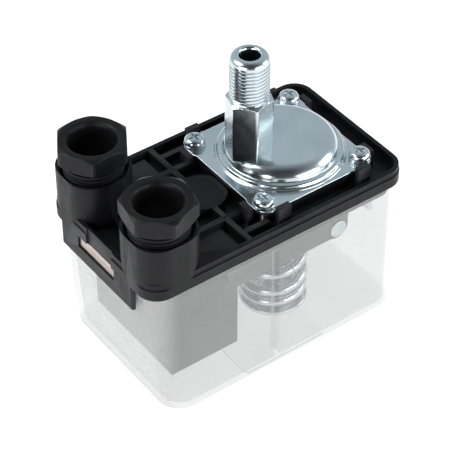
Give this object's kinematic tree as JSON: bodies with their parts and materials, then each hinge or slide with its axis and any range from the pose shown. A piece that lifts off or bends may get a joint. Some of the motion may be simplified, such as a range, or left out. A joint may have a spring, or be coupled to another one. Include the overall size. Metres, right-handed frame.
{
  "type": "pressure switch",
  "caption": "Pressure switch with a black ribbed base, clear box cover, domed steel flange, male pressure nipple, cable glands and an internal spring-loaded lever with contacts.",
  "frame": {"origin": "centre of the footprint, on the resting face of the cover's closed end", "axes": "+Z along the pressure nipple, away from the resting face; +X from the cable glands towards the plain end; +Y completes a right-handed frame"},
  "size_m": [0.105, 0.0624, 0.1072],
  "materials": {
    "black_plastic": "satin moulded polyamide",
    "clear_cover": "translucent, lightly frosted",
    "zinc_steel": "bright zinc plating",
    "spring_steel": "zinc-plated wire",
    "strip_metal": "warm-toned plated strip",
    "brass": "plain",
    "grey_moulding": "matt thermoset moulding",
    "carrier_plastic": "natural white moulding",
    "dark_steel": "black-finished pressed steel",
    "rubber": "matt"
  },
  "bodies": {
    "cover": {"clear_cover": "clear_cover"},
    "housing": {"base_housing": "black_plastic", "cover_clip": "strip_metal", "flange_plate": "zinc_steel", "pressure_nipple": "zinc_steel", "flange_screws": "zinc_steel", "flange_lock_washers": "spring_steel", "diaphragm": "rubber", "mounting_frame": "zinc_steel", "range_stud": "zinc_steel", "differential_stud": "zinc_steel", "contact_block": "grey_moulding", "block_screws": "zinc_steel", "terminal_strips": "brass", "terminal_clamps": "zinc_steel", "terminal_screws": "zinc_steel", "earth_screw": "zinc_steel", "earth_clamp": "zinc_steel", "range_spring": "spring_steel", "differential_spring": "spring_steel", "return_springs": "spring_steel", "gland_seal_near": "rubber", "gland_seal_far": "rubber"},
    "lever": {"lever": "dark_steel", "pivot_pin": "zinc_steel", "pivot_retainer": "spring_steel"},
    "piston": {"piston": "grey_moulding"},
    "contact_carrier": {"contact_carrier": "carrier_plastic", "moving_contacts": "brass"},
    "range_seat": {"range_seat": "zinc_steel"},
    "range_nut": {"range_nut": "zinc_steel"},
    "differential_seat": {"differential_seat": "zinc_steel"},
    "differential_nut": {"differential_nut": "zinc_steel"},
    "gland_ring_near": {"gland_ring_near": "zinc_steel"},
    "gland_screw_near": {"gland_screw_near": "black_plastic"},
    "gland_ring_far": {"gland_ring_far": "zinc_steel"},
    "gland_screw_far": {"gland_screw_far": "black_plastic"}
  },
  "joints": [
    {"name": "housing_lift", "type": "slide", "parent": "cover", "child": "housing", "axis": [0, 0, 1], "range_m": [0, 0.06]},
    {"name": "lever_swing", "type": "hinge", "parent": "housing", "child": "lever", "pos_m": [0.026, 0, 0.0425], "axis": [0, -1, 0], "range_deg": [0, 4], "stiffness_Nm_per_rad": 0.05, "deforming": ["range_spring", "differential_spring", "return_springs"]},
    {"name": "piston_stroke", "type": "slide", "parent": "housing", "child": "piston", "axis": [0, 0, -1], "range_m": [0, 0.00033]},
    {"name": "carrier_stroke", "type": "slide", "parent": "housing", "child": "contact_carrier", "axis": [0, 0, -1], "range_m": [0, 0.003], "deforming": ["return_springs"]},
    {"name": "range_seat_slide", "type": "slide", "parent": "housing", "child": "range_seat", "axis": [0, 0, 1], "range_m": [0, 0.006], "deforming": ["range_spring"]},
    {"name": "range_nut_turn", "type": "hinge", "parent": "range_seat", "child": "range_nut", "pos_m": [0.01, -0.0113, 0.0099], "axis": [0, 0, 1], "range_deg": [0, 2160]},
    {"name": "differential_seat_slide", "type": "slide", "parent": "housing", "child": "differential_seat", "axis": [0, 0, 1], "range_m": [0, 0.0035], "deforming": ["differential_spring"]},
    {"name": "differential_nut_turn", "type": "hinge", "parent": "differential_seat", "child": "differential_nut", "pos_m": [0.01, 0.013, 0.024], "axis": [0, 0, 1], "range_deg": [0, 1800]},
    {"name": "gland_near_ring_slide", "type": "slide", "parent": "housing", "child": "gland_ring_near", "axis": [0, 0, -1], "range_m": [0, 0.002], "deforming": ["gland_seal_near"]},
    {"name": "gland_near_turn", "type": "hinge", "parent": "gland_ring_near", "child": "gland_screw_near", "pos_m": [-0.0405, -0.0183, 0.0779], "axis": [0, 0, -1], "range_deg": [0, 480]},
    {"name": "gland_far_ring_slide", "type": "slide", "parent": "housing", "child": "gland_ring_far", "axis": [0, 0, -1], "range_m": [0, 0.002], "deforming": ["gland_seal_far"]},
    {"name": "gland_far_turn", "type": "hinge", "parent": "gland_ring_far", "child": "gland_screw_far", "pos_m": [-0.0405, 0.0183, 0.0779], "axis": [0, 0, -1], "range_deg": [0, 480]}
  ],
  "couplings": [
    {"joint": "piston_stroke", "follows": "lever_swing", "m_per_rad": 0.0047},
    {"joint": "carrier_stroke", "follows": "lever_swing", "m_per_rad": 0.0429},
    {"joint": "range_nut_turn", "follows": "range_seat_slide", "rad_per_m": 6282.6},
    {"joint": "differential_nut_turn", "follows": "differential_seat_slide", "rad_per_m": 8975.1},
    {"joint": "gland_near_turn", "follows": "gland_near_ring_slide", "rad_per_m": 4188.4},
    {"joint": "gland_far_turn", "follows": "gland_far_ring_slide", "rad_per_m": 4188.4}
  ]
}
